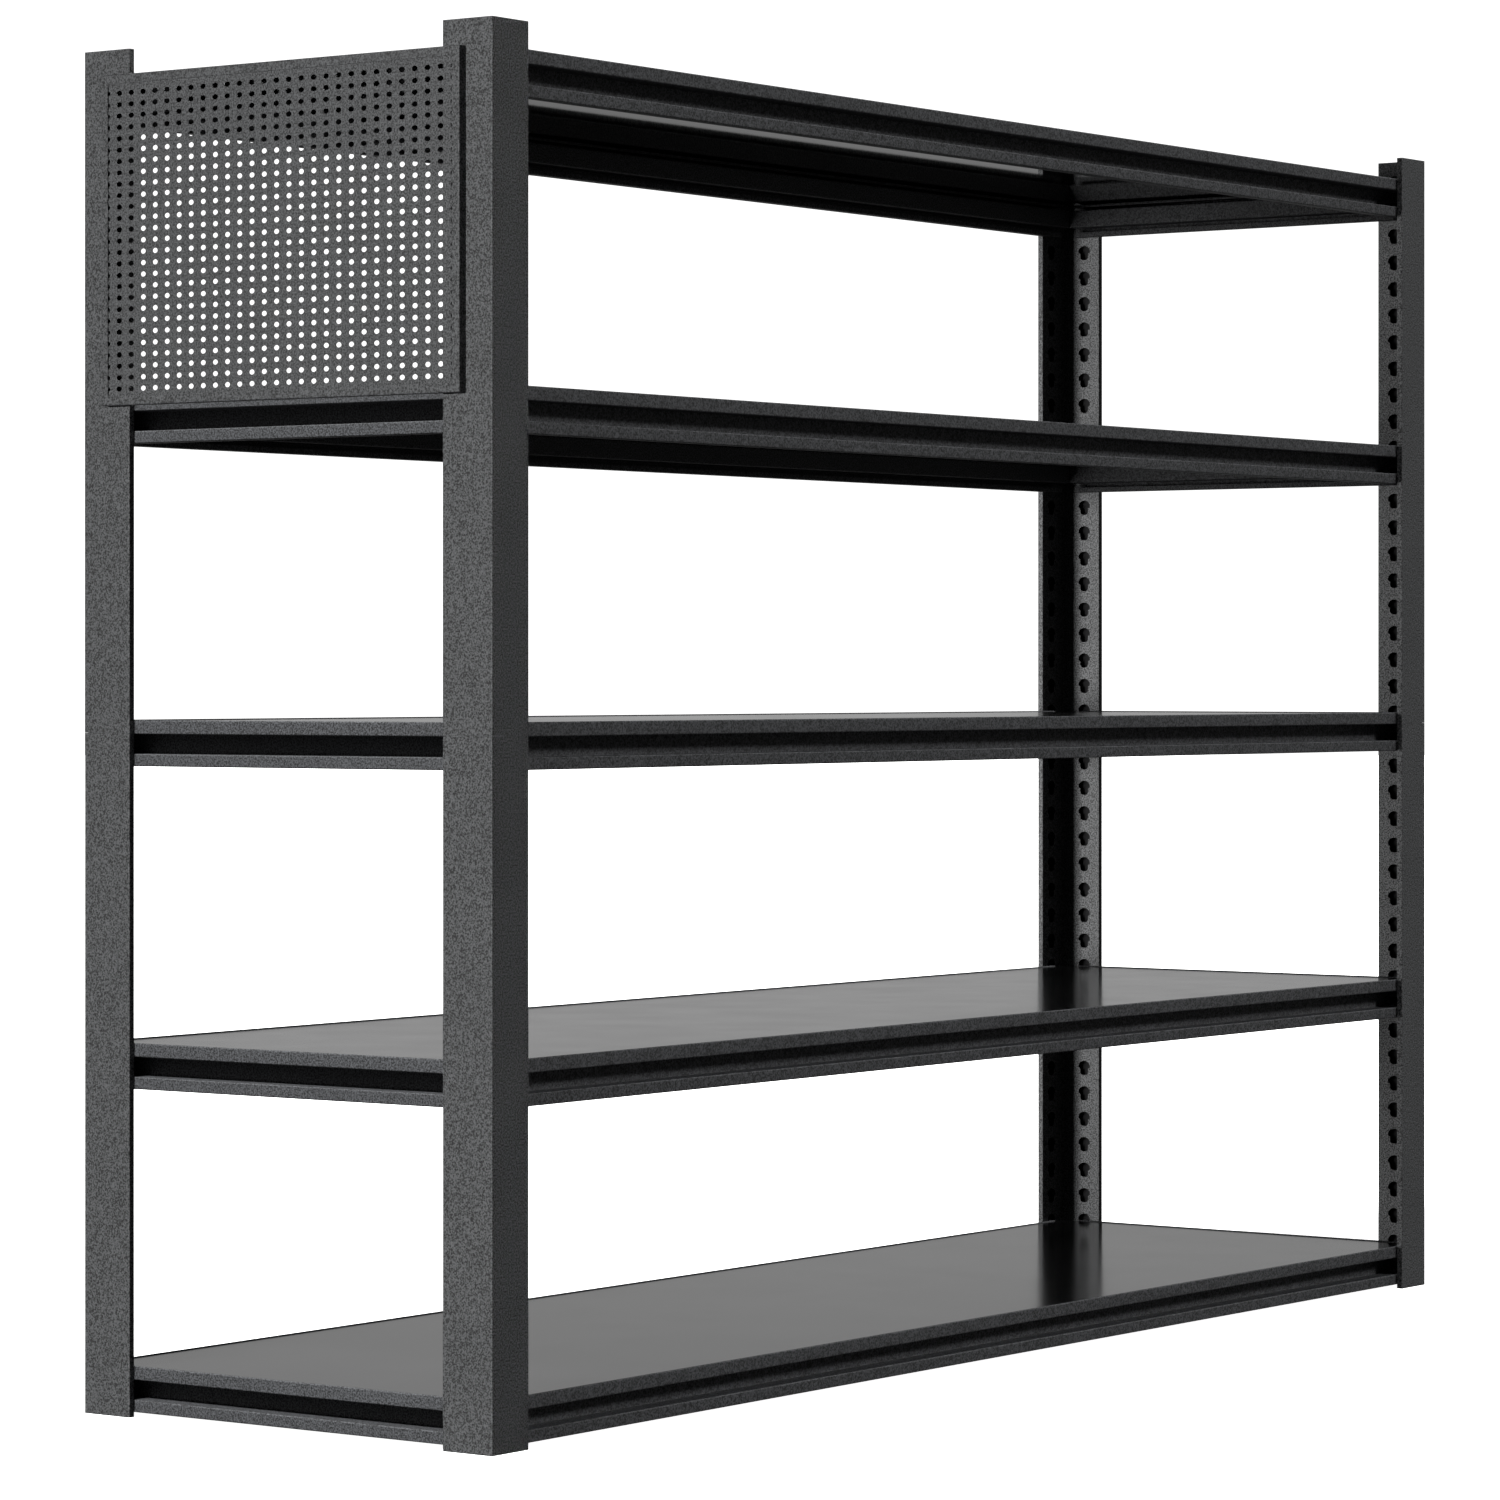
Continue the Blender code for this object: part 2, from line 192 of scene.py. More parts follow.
def close_material(tree, shader):
    """The tree's output, fed by its shader."""
    add_node(tree, "ShaderNodeOutputMaterial", [("Surface", shader.outputs[0])])


def noise(tree, place, size, detail):
    """Noise from 0 to 1 with features of a real size in metres."""
    return add_node(
        tree,
        "ShaderNodeTexNoise",
        [("Vector", place), ("Scale", 1 / size), ("Detail", detail)],
    ).outputs["Fac"]


def spread(tree, value, low, high, value_span=(0.3, 0.7), **settings):
    """A value's span, by default that of most noise, laid over low to high."""
    return add_node(
        tree,
        "ShaderNodeMapRange",
        [
            ("Value", value),
            ("From Min", value_span[0]),
            ("From Max", value_span[1]),
            ("To Min", low),
            ("To Max", high),
        ],
        **settings,
    ).outputs["Result"]


def product(tree, one, two):
    """One value times another."""
    return add_node(tree, "ShaderNodeMath", [(0, one), (1, two)], operation="MULTIPLY").outputs["Value"]


def finish_surface(tree, rgb, shade, roughness, relief, uniform):
    """Colour scaled by shade, relief as (height, strength, depth), and a socket with one value all over."""
    height, strength, depth = relief
    tint = add_node(
        tree, "ShaderNodeVectorMath", [(0, rgb), ("Scale", shade)], operation="SCALE"
    ).outputs["Vector"]
    bumps = add_node(
        tree,
        "ShaderNodeBump",
        [("Height", height), ("Strength", strength), ("Distance", depth)],
    ).outputs["Normal"]
    shader = add_node(
        tree,
        "ShaderNodeBsdfPrincipled",
        [("Base Color", tint), ("Roughness", roughness), ("Normal", bumps), uniform],
    )
    close_material(tree, shader)


def textured_powder_coat(name, rgb, contrast):
    """Black polyester powder, baked with a sand texture: dull, with a fine speckle of lit grains."""
    material, tree = new_material(name)
    place = add_node(tree, "ShaderNodeTexCoord").outputs["Object"]
    # Grains of the baked powder, a few tenths of a millimetre in life, drawn coarse enough to show.
    grain = 2.3 * MM
    grains = noise(tree, place, grain, 1.0)
    # Slow drift in the sprayed thickness.
    drift = noise(tree, place, 90 * MM, 2.0)
    speckle = spread(tree, grains, 1.0 - contrast, 1.0 + contrast, (0.35, 0.65))
    shade = product(tree, speckle, spread(tree, drift, 0.94, 1.06))
    # The tops of the grains are rubbed a little smoother than the pits between them.
    dullness = spread(tree, grains, 0.68, 0.52)
    finish_surface(tree, rgb, shade, dullness, (grains, 0.55, 0.12 * grain), ("IOR", 1.5))
    return material


def melamine_laminate(name, rgb):
    """Melamine paper pressed on chipboard with a satin plate: dark, clean, and a mirror at a low angle."""
    material, tree = new_material(name)
    place = add_node(tree, "ShaderNodeTexCoord").outputs["Object"]
    # The pearl of the press plate, and a wiped handling haze.
    pearl = noise(tree, place, 1.6 * MM, 1.0)
    haze = noise(tree, place, 120 * MM, 2.0)
    gloss = spread(tree, haze, 0.14, 0.16)
    # The backing sheet underneath comes off a polished plate.
    facing = add_node(tree, "ShaderNodeNewGeometry").outputs["True Normal"]
    upwards = add_node(tree, "ShaderNodeSeparateXYZ", [("Vector", facing)]).outputs["Z"]
    polish = spread(tree, upwards, 0.22, 1.0, (-0.9, -0.5))
    dullness = product(tree, gloss, polish)
    shade = spread(tree, pearl, 0.88, 1.14)
    finish_surface(tree, rgb, shade, dullness, (pearl, 0.1, 0.02 * MM), ("IOR", 1.5))
    return material


def zinc_plate(name, rgb):
    """Bright zinc plated on cold-rolled steel: grey metal with faint rolling lines and cloudy passivation."""
    material, tree = new_material(name)
    place = add_node(tree, "ShaderNodeTexCoord").outputs["Object"]
    # Rolling lines, drawn out upwards, and clouds of passivation.
    drawn_out = (1.0, 1.0, 0.04)
    drawn = add_node(
        tree, "ShaderNodeMapping", [("Vector", place), ("Scale", drawn_out)]
    ).outputs["Vector"]
    lines = noise(tree, drawn, 0.8 * MM, 2.0)
    clouds = noise(tree, place, 12 * MM, 4.0)
    shade = spread(tree, clouds, 0.84, 1.08)
    dullness = spread(tree, lines, 0.32, 0.46)
    finish_surface(tree, rgb, shade, dullness, (lines, 0.3, 0.02 * MM), ("Metallic", 1.0))
    return material


def mill_scale_and_painted_shade(name, rgb):
    """Bare hot-rolled sheet inside the hollow posts: blue-black scale, made near black as painted shade, so
    the slots look out on darkness.
    """
    material, tree = new_material(name)
    place = add_node(tree, "ShaderNodeTexCoord").outputs["Object"]
    flakes = noise(tree, place, 9 * MM, 4.0)
    shade = spread(tree, flakes, 0.6, 1.4)
    finish_surface(tree, rgb, shade, 0.8, (flakes, 0.3, 0.05 * MM), ("Specular IOR Level", 0.2))
    return material


def material_for(slot_name):
    """The finish of a material slot, or of the posts' hollow, made the first time that it is asked for."""
    colours = bpy.context.scene.shelving_colours
    finishes = {
        "post_coat": ("Textured powder coat, posts", textured_powder_coat, colours.post_coat, 1.0),
        "beam_coat": ("Textured powder coat, beams", textured_powder_coat, colours.beam_coat, 0.9),
        "panel_coat": ("Textured powder coat, side panel", textured_powder_coat, colours.panel_coat, 0.9),
        "deck_laminate": ("Melamine laminate, satin", melamine_laminate, colours.laminate),
        "zinc": ("Zinc plate, passivated", zinc_plate, colours.zinc),
        # The posts' hollow gets bare steel made near black: painted shade for the inside seen through the
        # slots.
        "hollow": ("Hot-rolled mill scale", mill_scale_and_painted_shade, colours.hollow),
    }
    name, make, *values = finishes[slot_name]
    if name in bpy.data.materials:
        return bpy.data.materials[name]
    return make(name, *values)


# Shapes


def bent(points, radii, closed=False):
    """A flat path with its corners rounded: pairs of a point and the unit normal on the path's left."""
    points = [Vector(point) for point in points]
    count = len(points)
    found = []
    for index, (point, radius) in enumerate(zip(points, radii)):
        if not closed and index in (0, count - 1):
            other = points[1] if index == 0 else points[-2]
            along = (other - point if index == 0 else point - other).normalized()
            found.append((point, Vector((-along.y, along.x))))
            continue
        before = (point - points[index - 1]).normalized()
        after = (points[(index + 1) % count] - point).normalized()
        turn = -before.angle_signed(after)
        side = 1 if turn > 0 else -1
        left = Vector((-before.y, before.x))
        start = point - before * radius * tan(abs(turn) / 2)
        centre = start + side * radius * left
        for step in range(BEND_STEPS + 1):
            angle = turn * step / BEND_STEPS
            normal = Vector(
                (left.x * cos(angle) - left.y * sin(angle), left.x * sin(angle) + left.y * cos(angle))
            )
            found.append((centre - side * radius * normal, normal))
    return found


def add_ribbon(shape, path, half, low, high, place):
    """Formed sheet: a path in YZ of points and normals, half the sheet to each side, drawn along X."""
    rows = []
    for x in (low, high):
        for side in (half, -half):
            spots = [point + normal * side for point, normal in path]
            rows.append([shape.verts.new(place @ Vector((x, spot.x, spot.y))) for spot in spots])
    near_left, near_right, far_left, far_right = rows
    around = (near_left, near_right, far_right, far_left)
    for one, two in zip(around, around[1:] + around[:1]):
        for index in range(len(path) - 1):
            shape.faces.new((one[index], one[index + 1], two[index + 1], two[index]))
    for index in (0, -1):
        shape.faces.new((near_left[index], near_right[index], far_right[index], far_left[index]))


def add_turned(shape, profile, place, steps=20):
    """A solid turned about Z from radius and height pairs, which start and end on the axis."""
    rings = []
    for radius, height in profile:
        if radius == 0:
            rings.append([shape.verts.new(place @ Vector((0, 0, height)))])
            continue
        angles = [2 * pi * step / steps for step in range(steps)]
        spots = [Vector((radius * cos(angle), radius * sin(angle), height)) for angle in angles]
        rings.append([shape.verts.new(place @ spot) for spot in spots])
    for one, two in zip(rings, rings[1:]):
        for step in range(steps):
            after = (step + 1) % steps
            ring = [one[step % len(one)], one[after % len(one)], two[after % len(two)], two[step % len(two)]]
            shape.faces.new(list(dict.fromkeys(ring)))


def finished(name, shape, slot_name, body, nodes, more_slots=()):
    """The piece made of a shape: shaded, coated, riding on its body and standing for its CAD nodes."""
    bmesh.ops.recalc_face_normals(shape, faces=shape.faces)
    mesh = bpy.data.meshes.new(name)
    shape.to_mesh(mesh)
    shape.free()
    mesh.shade_smooth()
    mesh.set_sharp_from_angle(angle=SMOOTH_BELOW)
    piece = bpy.data.objects.new(name, mesh)
    bpy.context.scene.collection.objects.link(piece)
    for finish in (slot_name, *more_slots):
        mesh.materials.append(material_for(finish))
    weighted = piece.modifiers.new("Flat faces stay flat", "WEIGHTED_NORMAL")
    weighted.keep_sharp = True
    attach(piece, body)
    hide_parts(*nodes)
    return piece


def body_holding(node):
    """The moving body that a CAD node belongs to."""
    return next(name for name, nodes in frame["record"]["behaviour"]["bodies"].items() if node in nodes)


def arc(centre, radii, start, stop, steps):
    """Points on an elliptical arc, between two angles from the centre's right."""
    angles = [start + (stop - start) * step / steps for step in range(steps + 1)]
    return [(centre[0] + radii[0] * cos(angle), centre[1] + radii[1] * sin(angle)) for angle in angles]


def slot_half_outline(sizes):
    """The right half of a mushroom slot from its lowest point to its highest, and its two split points."""
    half_height = sizes.slot_height / 2
    stem = sizes.slot_stem / 2
    cap = sizes.slot_cap / 2
    cap_foot = half_height - sizes.slot_cap_depth
    lobe = 2.6 * MM
    foot_round = 5.8 * MM
    neck = 1 * MM
    foot = arc((stem - foot_round, foot_round - half_height), (foot_round, foot_round), -pi / 2, 0, 4)
    lobes = arc((cap - lobe, cap_foot + lobe), (lobe, lobe), -pi / 2, 0, 3)
    dome = arc((0, cap_foot + lobe), (cap, sizes.slot_cap_depth - lobe), pi / 12, 5 * pi / 12, 4)
    points = [(0.0, -half_height), *foot, (stem, cap_foot - neck), (stem + neck, cap_foot)]
    points += [*lobes, *dome, (0.0, half_height)]
    lower_split, upper_split = 3, len(points) - 4
    return points, lower_split, upper_split


def add_slotted_wall(shape, corners, middles, half_outline):
    """One wall cell with a slot, on the post's outside and on its hollow side, and the slot's own edge."""
    points, lower, upper = half_outline
    last = len(points) - 1
    loops = []
    for layer, ((a, b, c, d), middle) in enumerate(zip(corners, middles)):
        along = (b.co - a.co).normalized()
        right = [shape.verts.new(middle + along * s + Vector((0, 0, z))) for s, z in points]
        left = [
            right[index] if index in (0, last) else shape.verts.new(middle - along * s + Vector((0, 0, z)))
            for index, (s, z) in enumerate(points)
        ]
        rings = (
            [a, b] + right[lower::-1] + left[1:lower + 1],
            [b, c] + right[upper:lower - 1:-1],
            [c, d] + left[upper:last] + right[last:upper - 1:-1],
            [d, a] + left[lower:upper + 1],
        )
        # Layer 1, the hollow side, takes the near-black finish that paints the shade inside the post.
        for ring in rings:
            shape.faces.new(ring).material_index = layer
        loops.append(right + left[last - 1:0:-1])
    for index in range(len(loops[0])):
        after = (index + 1) % len(loops[0])
        # The slot's punched edge also takes the near-black finish, as painted shade.
        edge = shape.faces.new((loops[0][index], loops[0][after], loops[1][after], loops[1][index]))
        edge.material_index = 1


def outer_corner(low, high, side_x, side_y):
    """Where an upright piece's outer corner stands in plan."""
    return Vector((low.x if side_x < 0 else high.x, low.y if side_y < 0 else high.y, 0))


def post_outlines(front_leg, side_leg, sizes):
    """A post's outside and its hollow in plan, from its outer corner: two closed paths with rounded folds."""
    thick, wall, edge = sizes.post_thickness, sizes.sheet, sizes.post_edge
    inner_fold = 1.2 * MM
    outlines = []
    for inset in (0, wall):
        near, far = inset, thick - inset
        points = [
            (near, near),
            (front_leg - inset, near),
            (front_leg - inset, far),
            (far, far),
            (far, side_leg - inset),
            (near, side_leg - inset),
        ]
        tight = edge - inset
        radii = (sizes.post_corner - inset, tight, tight, inner_fold + inset, tight, tight)
        outlines.append([point for point, _ in bent(points, radii, closed=True)])
    return outlines


def post_shape(node, side_x, side_y, sizes):
    """A double-walled angle with rounded folds, its inner walls punched with mushroom slots."""
    low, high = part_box(node)
    corner = outer_corner(low, high, side_x, side_y)
    slots = [SLOT_FIRST + index * SLOT_PITCH for index in range(int(high.z / SLOT_PITCH) + 1)]
    slots = [slot for slot in slots if low.z < slot < high.z]
    levels = [low.z] + [(one + two) / 2 for one, two in zip(slots, slots[1:])] + [high.z]
    shape = bmesh.new()
    grids = []
    for outline in post_outlines(high.x - low.x, high.y - low.y, sizes):
        spots = [corner - Vector((side_x * point.x, side_y * point.y, 0)) for point in outline]
        grids.append([[shape.verts.new(spot + Vector((0, 0, z))) for spot in spots] for z in levels])
    count = len(grids[0][0])
    # The walls before and after the inner fold are the slotted ones. Each fold has BEND_STEPS + 1 points.
    layers = (sizes.post_thickness, sizes.post_thickness - sizes.sheet)
    slot_spots = {
        3 * (BEND_STEPS + 1) - 1: [(sizes.front_slot, across) for across in layers],
        4 * (BEND_STEPS + 1) - 1: [(across, sizes.side_slot) for across in layers],
    }
    half_outline = slot_half_outline(sizes)
    for row, slot_z in enumerate(slots):
        for index in range(count):
            after = (index + 1) % count
            cells = [
                (grid[row][index], grid[row][after], grid[row + 1][after], grid[row + 1][index])
                for grid in grids
            ]
            if index in slot_spots:
                middles = [
                    corner + Vector((-side_x * x, -side_y * y, slot_z)) for x, y in slot_spots[index]
                ]
                add_slotted_wall(shape, cells, middles, half_outline)
                continue
            # The second layer, the hollow side of the walls, takes the near-black finish: painted shade
            # inside the post.
            for layer, cell in enumerate(cells):
                shape.faces.new(cell).material_index = layer
    for row in (0, -1):
        for index in range(count):
            after = (index + 1) % count
            ends = (grids[0][row][index], grids[0][row][after], grids[1][row][after], grids[1][row][index])
            shape.faces.new(ends)
    return shape


def splice_shape(node, side_x, side_y, sizes):
    """A short angle with a rounded bend, in the hollow of its post."""
    low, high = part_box(node)
    corner = outer_corner(low, high, side_x, side_y)
    post_low, post_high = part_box(node.replace("splice", "post") + "_lower")
    margin = low.x - post_low.x if side_x < 0 else post_high.x - high.x
    half = sizes.post_thickness / 2 - margin
    inner_radius = 0.4 * MM
    points = [(high.x - low.x, half), (half, half), (half, high.y - low.y)]
    path = bent(points, (0, half + inner_radius, 0))
    shape = bmesh.new()
    # The strip runs upwards, with its path in plan and turned towards the post's own corner.
    turn = Matrix(((0, -side_x, 0, corner.x), (0, 0, -side_y, corner.y), (1, 0, 0, 0), (0, 0, 0, 1)))
    add_ribbon(shape, path, half, low.z, high.z, turn)
    return shape


def beam_path(height, sizes):
    """The rolled sheet's middle line: inwards from the outer face, and up from the foot."""
    half = sizes.sheet / 2
    ledge_top = height - sizes.upper_band + 2 * sizes.sheet + sizes.ledge_gap
    ceiling = height - sizes.upper_band + half
    web = sizes.groove_depth + half
    points = [
        (sizes.ledge, ledge_top - half),
        (sizes.lip - half, ledge_top - half),
        (sizes.lip - half, height - half),
        (half, height - half),
        (half, ceiling),
        (web, ceiling),
        (web, sizes.lower_band - half),
        (half, sizes.lower_band - half),
        (half, half),
        (sizes.bottom_flange - half, half),
        (sizes.bottom_flange - half, sizes.bottom_return),
    ]
    return bent(points, [sizes.beam_bend] * len(points))


def rivet_profile(sizes):
    """A pressed rivet: a domed head outside, a shank through the slot and a flat tail behind the sheet."""
    reach = sizes.rivet_reach
    head_back = reach - 2 * MM
    tail_front, tail_back = -1.15 * MM, -2.2 * MM
    shank, tail, head = 5 * MM, 6 * MM, 8 * MM
    return [
        (0, tail_back),
        (tail - 0.8 * MM, tail_back),
        (tail, tail_back + 0.4 * MM),
        (tail, tail_front),
        (shank, tail_front),
        (shank, head_back),
        (head - 0.3 * MM, head_back),
        (head, head_back + 0.3 * MM),
        (head, reach - 1.1 * MM),
        (head - 1 * MM, reach - 0.45 * MM),
        (head - 3 * MM, reach - 0.12 * MM),
        (head - 5.5 * MM, reach),
        (0, reach),
    ]


def beam_shape(node, side, sizes):
    """A rolled beam with an upper band, a groove, a lower band and a ledge, and its four rivets."""
    low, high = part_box(node)
    height = high.z - low.z
    reach = sizes.rivet_reach
    middle = (low + high) / 2
    faces = {
        "front": Vector((middle.x, low.y + reach, low.z)),
        "rear": Vector((middle.x, high.y - reach, low.z)),
        "left": Vector((low.x + reach, middle.y, low.z)),
        "right": Vector((high.x - reach, middle.y, low.z)),
    }
    place = Matrix.Translation(faces[side]) @ Matrix.Rotation(radians(SIDE_TURNS[side]), 4, "Z")
    over_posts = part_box("post_rear_right_lower")[1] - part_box("post_front_left_lower")[0]
    if side in ("front", "rear"):
        half_span, slot = over_posts.x / 2, sizes.front_slot
    else:
        half_span, slot = over_posts.y / 2, sizes.side_slot
    half_length = half_span - sizes.beam_end
    shape = bmesh.new()
    add_ribbon(shape, beam_path(height, sizes), sizes.sheet / 2, -half_length, half_length, place)
    upper = height - sizes.rivet_below_top
    outwards = Matrix.Rotation(radians(90), 4, "X")
    for x in (slot - half_span, half_span - slot):
        for z in (upper - SLOT_PITCH, upper):
            spot = place @ Matrix.Translation((x, 0, z)) @ outwards
            add_turned(shape, rivet_profile(sizes), spot)
    return shape


def board_shape(node, sizes):
    """A board with eased edges."""
    low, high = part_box(node)
    shape = bmesh.new()
    place = Matrix.Translation((low + high) / 2) @ Matrix.Diagonal((*(high - low), 1))
    bmesh.ops.create_cube(shape, size=1, matrix=place)
    bmesh.ops.bevel(
        shape,
        geom=list(shape.edges),
        offset=sizes.deck_edge,
        segments=3,
        profile=0.5,
        affect="EDGES",
    )
    return shape


def pan_shape(node, sizes):
    """The side panel's frame: a flat border, a bend and a rim that runs back to the posts."""
    low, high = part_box(node)
    half = sizes.sheet / 2
    points = [(half, sizes.panel_border), (half, half), (high.x - low.x, half)]
    path = bent(points, (0, sizes.panel_bend, 0))
    section = [point + normal * half for point, normal in path]
    section += [point - normal * half for point, normal in reversed(path)]
    shape = bmesh.new()
    rings = []
    for depth, inset in section:
        y_low, y_high = low.y + inset, high.y - inset
        z_low, z_high = low.z + inset, high.z - inset
        spots = [(y_low, z_low), (y_high, z_low), (y_high, z_high), (y_low, z_high)]
        rings.append([shape.verts.new((low.x + depth, y, z)) for y, z in spots])
    for index, ring in enumerate(rings):
        other = rings[(index + 1) % len(rings)]
        for spot in range(4):
            after = (spot + 1) % 4
            shape.faces.new((ring[spot], ring[after], other[after], other[spot]))
    return shape


def perforated_shape(node, sizes, hole_steps=16):
    """A sheet punched with a full grid of holes, whose outer columns run under the frame's border."""
    low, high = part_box(node)
    middle = (low + high) / 2
    columns = int((high.y - low.y - sizes.hole_width) / 2 / sizes.column_pitch)
    ys = [middle.y + index * sizes.column_pitch for index in range(-columns, columns + 1)]
    frame_low, frame_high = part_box("panel_frame")
    rows = int((frame_high.z - frame_low.z) / 2 / sizes.row_pitch) - 1
    zs = [middle.z - sizes.rows_drop + index * sizes.row_pitch for index in range(-rows, rows + 1)]
    y_lines = [low.y] + [(one + two) / 2 for one, two in zip(ys, ys[1:])] + [high.y]
    z_lines = [low.z, zs[0] - sizes.row_pitch / 2]
    z_lines += [(one + two) / 2 for one, two in zip(zs, zs[1:])]
    z_lines += [zs[-1] + sizes.row_pitch / 2, high.z]
    shape = bmesh.new()
    grids = [[[shape.verts.new((x, y, z)) for y in y_lines] for z in z_lines] for x in (low.x, high.x)]
    quarter = hole_steps // 4
    angles = [2 * pi * step / hole_steps - 3 * pi / 4 for step in range(hole_steps)]
    for row in range(len(z_lines) - 1):
        for column in range(len(y_lines) - 1):
            loops = []
            for grid, x in zip(grids, (low.x, high.x)):
                cell = (
                    grid[row][column],
                    grid[row][column + 1],
                    grid[row + 1][column + 1],
                    grid[row + 1][column],
                )
                if row in (0, len(z_lines) - 2):
                    shape.faces.new(cell)
                    continue
                y, z = ys[column], zs[row - 1]
                wide, tall = sizes.hole_width / 2, sizes.hole_height / 2
                ring = [shape.verts.new((x, y + wide * cos(a), z + tall * sin(a))) for a in angles]
                for side in range(4):
                    part = [ring[(side * quarter + step) % hole_steps] for step in range(quarter + 1)]
                    shape.faces.new([cell[side], cell[(side + 1) % 4]] + part[::-1])
                loops.append(ring)
            if loops:
                for step in range(hole_steps):
                    after = (step + 1) % hole_steps
                    shape.faces.new((loops[0][step], loops[0][after], loops[1][after], loops[1][step]))
    edges = [[grid[0] for grid in grids], [grid[-1] for grid in grids]]
    edges += [[[row[end] for row in grid] for grid in grids] for end in (0, -1)]
    for front, back in edges:
        for index in range(len(front) - 1):
            shape.faces.new((front[index], front[index + 1], back[index + 1], back[index]))
    return shape


def hook_shape(node, sizes):
    """A bent strap from behind the side panel over the lip of the highest beam."""
    low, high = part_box(node)
    half = sizes.sheet / 2
    gap_to_lip = 0.3 * MM
    shoulder_drop = 24 * MM
    tip_drop = 9 * MM
    bend = 1.3 * MM
    lip_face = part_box(f"beam_left_{LEVELS}")[0].x + sizes.rivet_reach
    leg = lip_face - low.x - gap_to_lip - half
    behind = high.x - low.x - half
    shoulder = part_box("panel_frame")[1].z - shoulder_drop - low.z
    over = high.z - low.z - half
    tip = over - tip_drop
    points = [(half, 0), (half, shoulder), (leg, shoulder), (leg, over), (behind, over), (behind, tip)]
    path = bent(points, (0, bend, bend, bend, bend, 0))
    place = Matrix.Translation((low.x, (low.y + high.y) / 2, low.z)) @ Matrix.Rotation(radians(-90), 4, "Z")
    shape = bmesh.new()
    half_width = (high.y - low.y) / 2
    add_ribbon(shape, path, half, -half_width, half_width, place)
    return shape


# Operators


class PieceOperator:
    """What the operators share: undo, and a plain message if the frame was packed differently."""

    bl_options = {"REGISTER", "UNDO"}

    def need(self, names):
        missing = sorted(set(names) - set(frame["nodes"]))
        if missing:
            raise RuntimeError(f"{self.bl_label}: the frame has no {', '.join(missing)}")


class SHELVING_OT_posts(PieceOperator, bpy.types.Operator):
    """Form the eight lengths of post, with their folds and punched slots"""

    bl_idname = "shelving.posts"
    bl_label = "Form Posts"

    def execute(self, context):
        sizes = context.scene.shelving_sizes
        lengths = {
            f"post_{corner}_{half}": sides for corner, sides in CORNERS.items() for half in POST_HALVES
        }
        self.need(lengths)
        for name, (side_x, side_y) in lengths.items():
            shape = post_shape(name, side_x, side_y, sizes)
            # The second slot is the near-black hollow finish, painted shade inside the post.
            finished(f"{name}_formed", shape, "post_coat", body_holding(name), [name], ["hollow"])
        return {"FINISHED"}


class SHELVING_OT_splices(PieceOperator, bpy.types.Operator):
    """Bend the four splice angles that join the lower and upper posts"""

    bl_idname = "shelving.splices"
    bl_label = "Bend Splices"

    def execute(self, context):
        sizes = context.scene.shelving_sizes
        names = [f"splice_{corner}" for corner in CORNERS]
        self.need(names)
        for name, (side_x, side_y) in zip(names, CORNERS.values()):
            shape = splice_shape(name, side_x, side_y, sizes)
            finished(f"{name}_bent", shape, "zinc", body_holding(name), [name])
        return {"FINISHED"}


class SHELVING_OT_beams(PieceOperator, bpy.types.Operator):
    """Roll the beams of every level and press in their rivets"""

    bl_idname = "shelving.beams"
    bl_label = "Roll Beams"

    def execute(self, context):
        sizes = context.scene.shelving_sizes
        beams = {f"beam_{side}_{level}": side for level in range(1, LEVELS + 1) for side in SIDE_TURNS}
        self.need(beams)
        for name, side in beams.items():
            shape = beam_shape(name, side, sizes)
            finished(f"{name}_rolled", shape, "beam_coat", body_holding(name), [name])
        return {"FINISHED"}


class SHELVING_OT_decks(PieceOperator, bpy.types.Operator):
    """Lay the laminated boards"""

    bl_idname = "shelving.decks"
    bl_label = "Lay Decks"

    def execute(self, context):
        sizes = context.scene.shelving_sizes
        names = [f"deck_{level}" for level in range(1, LEVELS + 1)]
        self.need(names)
        for name in names:
            finished(f"{name}_board", board_shape(name, sizes), "deck_laminate", body_holding(name), [name])
        return {"FINISHED"}


class SHELVING_OT_side_panel(PieceOperator, bpy.types.Operator):
    """Punch the side panel's sheet, fold its frame and bend its hooks"""

    bl_idname = "shelving.side_panel"
    bl_label = "Hang Side Panel"

    def execute(self, context):
        sizes = context.scene.shelving_sizes
        hooks = ["panel_hook_front", "panel_hook_rear"]
        self.need(["panel_frame", "panel_sheet"] + hooks)
        body = body_holding("panel_frame")
        finished("panel_frame_folded", pan_shape("panel_frame", sizes), "panel_coat", body, ["panel_frame"])
        sheet = perforated_shape("panel_sheet", sizes)
        finished("panel_sheet_punched", sheet, "panel_coat", body, ["panel_sheet"])
        for name in hooks:
            finished(f"{name}_bent", hook_shape(name, sizes), "panel_coat", body, [name])
        return {"FINISHED"}


